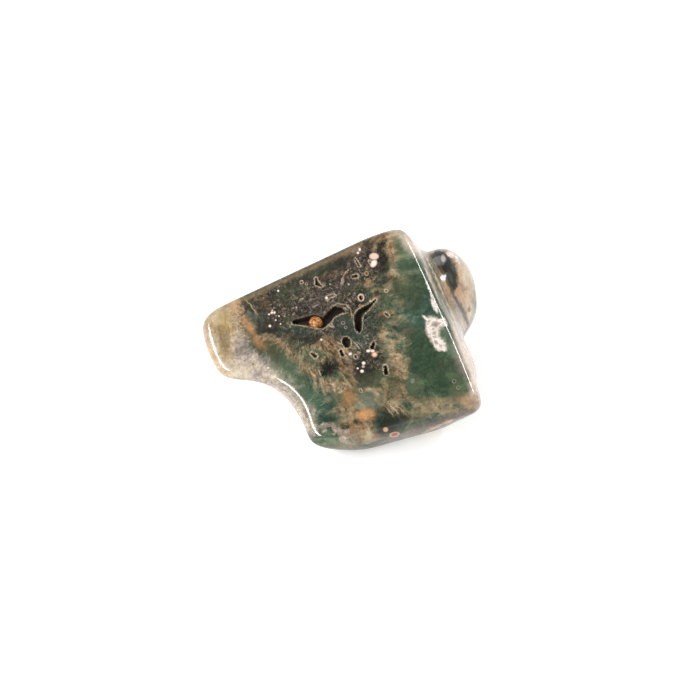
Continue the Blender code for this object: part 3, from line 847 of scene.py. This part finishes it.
def addDrifts(tree, field):
    # several kinds of wandering, so that zones end in feathers and not in lines
    here, seen = field["here"], field["seen"]
    wide, fine = [vector(tree, "SUBTRACT", noiseOf(tree, here, *noises[name], output="Color"), (0.5, 0.5, 0.5))
                  for name in ("wideDrift", "fineDrift")]
    calm = shifted(tree, seen, fine, 0.7)
    wild = shifted(tree, shifted(tree, seen, wide, 3.0), fine, 1.7)
    notchFibres, starFibres = fan(tree, "notch", calm), fan(tree, "star", calm)
    combed = vector(tree, "ADD", calm, blown(tree, "notch", seen, notchFibres, 5.0))
    spiky = vector(tree, "ADD", seen, blown(tree, "star", seen, starFibres, 3.0))
    flat = noiseOf(tree, vector(tree, "MULTIPLY", seen, (0.5, 4.5, 1.0)), 1.0, 3.0, 0.6)
    banded = vector(tree, "ADD", calm, put(tree, "CombineXYZ", {1: minus(tree, flat, 0.5)}).outputs[0])
    strokes = fan(tree, "strokes", shifted(tree, calm, wide, 1.6))
    field.update(fineDrift=fine, notchFibres=notchFibres, strokes=strokes, drift={
        "still": seen, "calm": calm, "wild": wild, "combed": combed, "spiky": spiky, "banded": banded})


def addSpreads(tree, field):
    # what the inks of a stuff are spread by
    cloud, grain, dust = [noiseOf(tree, field["here"], *noises[name]) for name in ("cloud", "grain", "dust")]
    mixed = weighed(tree, (grain, 0.62), (dust, 0.38))
    strokes = field["strokes"]
    field.update(cloud=cloud, grain=grain, dust=dust, mixed=mixed,
                 fibred=weighed(tree, (cloud, 0.45), (field["notchFibres"], 0.55)),
                 softMix=weighed(tree, (cloud, 0.7), (mixed, 0.3)),
                 plumeMix=weighed(tree, (strokes, 0.62), (cloud, 0.2), (mixed, 0.18)),
                 hazeMix=weighed(tree, (strokes, 0.45), (cloud, 0.4), (mixed, 0.15)))


def darkStuff(tree, field):
    # speckled dark jasper: pale specks, crinkled contour lines of two sizes and small rings
    calm, mixed = field["drift"]["calm"], field["mixed"]
    far, pick = cellsOf(tree, calm, 2.3)
    size = times(tree, pick[2], 0.3)
    speck = times(tree, between(tree, minus(tree, far, size), 0.06, -0.06), between(tree, pick[0], 0.4, 0.55))
    speckInk = inkRamp(tree, pick[1], (0.0, "lilac"), (0.3, "charcoal"), (0.5, "sand"), (0.72, "rust"),
                       (0.85, "black"), (1.0, "cream"))
    curl = awayFrom(tree, noiseOf(tree, calm, *noises["curls"]), 0.5)
    smallCurl = awayFrom(tree, noiseOf(tree, calm, *noises["smallCurls"]), 0.53)
    vein = times(tree, between(tree, curl, 0.012, 0.003), between(tree, field["cloud"], 0.44, 0.56))
    smallVein = times(tree, between(tree, smallCurl, 0.03, 0.008), between(tree, field["grain"], 0.47, 0.6))

    dark = inkRamp(tree, mixed, (0.4, "black"), (0.45, "charcoal"), (0.5, "soot"), (0.55, "umber"), (0.6, "mauve"),
                   (0.65, "lilacGrey"), (0.72, "paleLilac"))
    dark = overlaid(tree, dark, speck, 0.85, speckInk)
    dark = overlaid(tree, dark, smallVein, 0.75, inks["lilac"])
    dark = overlaid(tree, dark, vein, 0.6, inks["sand"])
    far, pick = cellsOf(tree, calm, 0.95)
    gap = minus(tree, far, plus(tree, times(tree, pick[1], 0.22), 0.1))
    chosen = between(tree, pick[0], 0.45, 0.5)
    inRing = times(tree, chosen, between(tree, gap, 0.0, -0.06))
    onRing = times(tree, chosen, between(tree, number(tree, "ABSOLUTE", gap), 0.05, 0.015))
    dark = overlaid(tree, dark, inRing, 0.6, speckInk)
    return overlaid(tree, dark, onRing, 0.6, inks["sand"])


def addStuffs(tree, field):
    haze, plume, mixed, fibred, dust = [field[name] for name in ("hazeMix", "plumeMix", "mixed", "fibred", "dust")]
    stuff = {"dark": darkStuff(tree, field)}
    stuff["rusty"] = inkRamp(tree, plume, (0.41, "soot"), (0.45, "umber"), (0.49, "rust"), (0.55, "tan"),
                             (0.64, "sand"))
    hairs = between(tree, field["notchFibres"], 0.54, 0.62, 0.42)
    green = inkRamp(tree, fibred, (0.38, "darkTeal"), (0.45, "deepGreen"), (0.5, "glassGreen"), (0.57, "fern"))
    stuff["green"] = blendColour(tree, hairs, green, inks["paleFern"])
    stuff["teal"] = blendColour(tree, hairs, inks["teal"], inks["paleFern"])
    stuff["agate"] = inkRamp(tree, haze, (0.4, "lilac"), (0.46, "paleLilac"), (0.53, "cream"), (0.6, "paleCream"))
    stuff["lilac"] = inkRamp(tree, haze, (0.42, "greyLilac"), (0.5, "lilac"), (0.58, "paleLilac"))
    stuff["plume"] = inkRamp(tree, plume, (0.41, "moss"), (0.45, "rust"), (0.5, "tan"), (0.57, "sand"),
                             (0.65, "cream"))
    stuff["hazy"] = inkRamp(tree, haze, (0.41, "soot"), (0.46, "moss"), (0.5, "greyGreen"), (0.54, "tan"),
                            (0.6, "sand"))
    stuff["strip"] = inkRamp(tree, field["softMix"], (0.4, "soot"), (0.5, "stripBrown"), (0.6, "lilacGrey"))
    stuff["pebble"] = inkRamp(tree, mixed, (0.38, "tan"), (0.5, "lilac"), (0.6, "cream"), (0.7, "paleCream"))
    edges = put(tree, "TexVoronoi", {"Vector": field["drift"]["calm"], "Scale": 1.8}, feature="DISTANCE_TO_EDGE")
    cracks = plus(tree, edges.outputs["Distance"], times(tree, minus(tree, dust, 0.5), 0.25))
    stuff["crackle"] = inkRamp(tree, cracks, (0.0, "snow"), (0.16, "sidePink"), (0.3, "paleLilac"), (0.55, "lilac"))

    # plain inks get their own light and dark
    inkShade = plus(tree, between(tree, fibred, 0.36, 0.64, 0.4), 0.8)
    grainShade = plus(tree, between(tree, mixed, 0.34, 0.66, 0.52), 0.74)
    shade = times(tree, inkShade, grainShade)
    shade = put(tree, "CombineColor", {0: shade, 1: shade, 2: shade}).outputs[0]
    field.update(stuff=stuff, shade=shade)


def hiddenSides(tree, field):
    # sides the photograph doesn't show take the same stuffs in turn
    here, stuff = field["here"], field["stuff"]
    turns = noiseOf(tree, here, *noises["turns"])
    second = noiseOf(tree, vector(tree, "ADD", here, (31, 17, 5)), *noises["second"])
    colour = blendColour(tree, between(tree, turns, 0.52, 0.56), stuff["green"], stuff["hazy"])
    colour = blendColour(tree, between(tree, turns, 0.47, 0.43), colour, stuff["dark"])
    colour = blendColour(tree, between(tree, second, 0.58, 0.64), colour, stuff["agate"])
    for middle, low, high, top, above in ((0.54, 0.014, 0.002, 0.7, stuff["plume"]),
                                          (0.448, 0.01, 0.001, 0.45, inks["peach"])):
        colour = blendColour(tree, between(tree, awayFrom(tree, turns, middle), low, high, top), colour, above)

    # orbs in rings, scattered over those sides
    far, pick = cellsOf(tree, shifted(tree, here, field["fineDrift"], 0.4), 0.4, 0.9)
    place = number(tree, "DIVIDE", far, plus(tree, times(tree, pick[1], 0.2), 0.1))
    rings = inkRamp(tree, place, (0.0, "milk"), (0.34, "pink"), (0.46, "rust"), (0.6, "paleCream"),
                    (0.78, "greyGreen"), (0.92, "cream"))
    onOrb = times(tree, between(tree, pick[0], 0.58, 0.62), between(tree, place, 1.0, 0.9))
    return blendColour(tree, onOrb, colour, rings)


def glassyGreen(tree, field):
    colour = inkRamp(tree, field["softMix"], (0.38, "darkTeal"), (0.47, "deepGreen"), (0.54, "glassGreen"),
                     (0.62, "fern"))
    wisps = awayFrom(tree, noiseOf(tree, field["drift"]["wild"], *noises["wisps"]), 0.5)
    return overlaid(tree, colour, between(tree, wisps, 0.03, 0.0), 0.32, inks["paleFern"])


def linedSide(tree, field, depth):
    # the narrow side's lines run along the ridge; with them goes the mask of everything beyond it
    def fromRidge(place, way):
        off = vector(tree, "SUBTRACT", place, (*fromDots(*ridge["from"]), 0))
        return vector(tree, "DOT_PRODUCT", off, ridge[way])
    across, along = fromRidge(field["drift"]["calm"], "across"), fromRidge(field["seen"], "along")
    lane = put(tree, "CombineXYZ", {0: times(tree, across, 2.6), 1: times(tree, along, 0.12)}).outputs[0]
    lined = inkRamp(tree, noiseOf(tree, lane, *noises["lanes"]), (0.38, "deepGreen"), (0.45, "greyGreen"),
                    (0.51, "tan"), (0.58, "sand"), (0.68, "cream"))
    beyond = between(tree, fromRidge(field["seen"], "across"), 0.1, 0.4)
    return lined, times(tree, beyond, between(tree, depth, 9.0, 7.0))


def splitDrifts(tree, field, base, *others):
    # the masks wait for all the stuffs by a share too small to see, or Cycles runs out of room for them
    trace = 1e-7
    wait = None
    for colour in (base, *field["stuff"].values(), *others):
        share = times(tree, put(tree, "SeparateColor", {0: colour}).outputs[0], trace)
        wait = share if wait is None else plus(tree, wait, share)
    ways = {kind: put(tree, "SeparateXYZ", {0: way}).outputs for kind, way in field["drift"].items()}
    for way in ways.values():
        wait = plus(tree, wait, times(tree, way[0], trace))
    return {kind: [plus(tree, part, wait) for part in way] for kind, way in ways.items()}


def marked(tree, name):
    # a mark that the skin's points carry
    return put(tree, "Attribute", attribute_name=name, attribute_type="GEOMETRY").outputs["Fac"]


def lineAndShadeHollows(tree, colour, field, rim):
    # cream linings round the cavities, the long vug's paler on its lower side as painted light; darker deeper inside,
    # partly the walls' own brown and partly painted shade
    pale = marked(tree, "liningAndLitSide")
    wavering = plus(tree, rim, times(tree, minus(tree, field["mixed"], 0.5), 0.9))
    liningAndLitSide = times(tree, between(tree, wavering, 0.16, 0.06), between(tree, wavering, -0.06, 0.0))
    liningAndLitSide = times(tree, liningAndLitSide, pale)
    liningAndLitSide = times(tree, liningAndLitSide, plus(tree, between(tree, field["grain"], 0.42, 0.54, 0.65), 0.35))
    colour = overlaid(tree, colour, liningAndLitSide, 0.9, inks["cream"])
    # deeper in each cavity the colour goes to dark olive, then dark brown: partly the walls' colour, partly painted
    # shade
    colour = blendColour(tree, between(tree, rim, 0.01, -0.06), colour, inks["darkOlive"])
    return blendColour(tree, between(tree, rim, -0.05, -0.2), colour, inks["caveShadeBrown"])


def makeJasper():
    material, tree, shader = newMaterial("polishedJasper")
    place = useGroup(tree, placeGroup, {}).outputs
    field = {"here": place["Place"], "seen": place["Seen"]}
    depth = put(tree, "SeparateXYZ", {0: field["seen"]}).outputs[2]
    addDrifts(tree, field)
    addSpreads(tree, field)
    addStuffs(tree, field)

    # the main face starts glassy green
    hidden = hiddenSides(tree, field)
    face = glassyGreen(tree, field)
    colour = blendColour(tree, between(tree, depth, 3.2, 2.0), hidden, face)
    lined, onSide = linedSide(tree, field, depth)
    field["split"] = splitDrifts(tree, field, colour, lined, onSide)
    colour = paint(tree, colour, field, "faceZones", touches, 2.6)
    colour = blendColour(tree, times(tree, onSide, between(tree, depth, 0.1, 0.5)), colour, lined)
    colour = paint(tree, colour, field, "sideZones", sideTouches, 4.0)
    colour = blendColour(tree, 0.85, colour, field["shade"], "MULTIPLY")
    colour = dab(tree, colour, field, "threads", "calm", 0.45, 0.7, lines)
    colour = dab(tree, colour, field, "orbRims", "still", 0.22, 0.9, rims)
    colour = dab(tree, colour, field, "orbCores", "still", 0.3, 0.95, cores)
    rim = marked(tree, "rim")
    colour = lineAndShadeHollows(tree, colour, field, rim)

    dust = field["dust"]
    rough = between(tree, rim, 0.02, -0.04, polish["hollows"])
    base = plus(tree, between(tree, dust, 0.3, 0.7, polish["patchy"]), polish["roughness"])
    rough = plus(tree, rough, base)
    bump = put(tree, "Bump", {"Strength": polish["bump"], "Distance": polish["bumpDepth"], "Height": dust})
    plug(tree, shader, {"Base Color": colour, "Roughness": rough, "IOR": polish["index"], "Normal": bump.outputs[0]})
    return material


jasper = makeJasper()
skin.data.materials.append(jasper)
print("jasper material made,", len(jasper.node_tree.nodes), "nodes")

crystal = {"cells": 4.5, "mottle": (3.0, 4.0, 0.6), "roughness": 0.32, "bump": 0.4, "bumpDepth": 0.0001}


def makeCrystal():
    material, tree, shader = newMaterial("orangeCrystal")
    place = useGroup(tree, placeGroup, {}).outputs["Place"]
    far = put(tree, "TexVoronoi", {"Vector": place, "Scale": crystal["cells"]}, feature="F1").outputs["Distance"]
    mottle = plus(tree, times(tree, far, 0.6), times(tree, noiseOf(tree, place, *crystal["mottle"]), 0.5))
    colour = ramp(tree, mottle, (0.3, ink(236, 200, 140)), (0.45, ink(206, 140, 72)), (0.6, ink(168, 104, 52)),
                  (0.78, ink(110, 64, 34)))
    bump = put(tree, "Bump", {"Strength": crystal["bump"], "Distance": crystal["bumpDepth"], "Height": far})
    plug(tree, shader, {"Base Color": colour, "Roughness": crystal["roughness"], "Normal": bump.outputs[0]})
    return material


crystalBall.data.materials.append(makeCrystal())

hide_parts("jasper_stone")
for piece in (skin, crystalBall):
    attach(piece, "root")
print("pieces ride on the root body")

# floor, light and camera
studio = {"floor": 3.0, "paper": (0.9, 0.9, 0.9, 1), "paperRoughness": 0.9, "glow": 0.45, "world": 0.7}
floorBm = bmesh.new()
bmesh.ops.create_grid(floorBm, x_segments=1, y_segments=1, size=studio["floor"] / 2)
floor = linked("floor", meshFrom(floorBm, "floor"))
paper, paperTree, paperShader = newMaterial("palePaper")
plug(paperTree, paperShader, {"Base Color": studio["paper"], "Roughness": studio["paperRoughness"],
                              "Emission Color": (1, 1, 1, 1), "Emission Strength": studio["glow"]})
floor.data.materials.append(paper)

# softboxes: azimuth, elevation, distance m, width m, height m, watts
lights = {
    "leftBox": (-57, 42, 0.5, 0.34, 0.08, 1.7),
    "rightBox": (112, 45, 0.5, 0.15, 0.085, 0.8),
    "backBox": (178, 30, 0.7, 0.6, 0.25, 0.8),
    "frontFill": (10, 20, 0.9, 0.8, 0.4, 0.7),
}
heart = Vector(stone["heart"]) * mm
for name, (azimuth, elevation, far, wide, high, watts) in lights.items():
    lamp = bpy.data.lights.new(name, "AREA")
    lamp.shape = "RECTANGLE"
    lamp.size, lamp.size_y, lamp.energy = wide, high, watts
    item = linked(name, lamp)
    item.location = heart + Vector(facing(azimuth, elevation)) * far
    item.rotation_euler = (heart - item.location).to_track_quat("-Z", "Y").to_euler()

world = bpy.data.worlds.new("studio")
world.use_nodes = True
sky = world.node_tree
height = put(sky, "SeparateXYZ", {0: put(sky, "TexCoord").outputs["Generated"]}).outputs[2]
skyInk = ramp(sky, height, (0.0, (1, 1, 1, 1)), (0.45, (0.9, 0.9, 0.9, 1)), (0.85, (0.22, 0.22, 0.22, 1)))
plug(sky, sky.nodes["Background"], {0: skyInk, 1: studio["world"]})
bpy.context.scene.world = world
bpy.context.scene.view_settings.view_transform = "Standard"

camera = bpy.data.cameras.new("camera")
camera.lens = look["lens"]
camera.sensor_width = look["sensor"]
camera.clip_start = 0.01
cameraItem = linked("camera", camera)
cameraItem.location = heart + Vector(viewer) * mm
cameraItem.rotation_euler = (math.radians(90) - tilt, 0, 0)
bpy.context.scene.camera = cameraItem
print("studio set up")
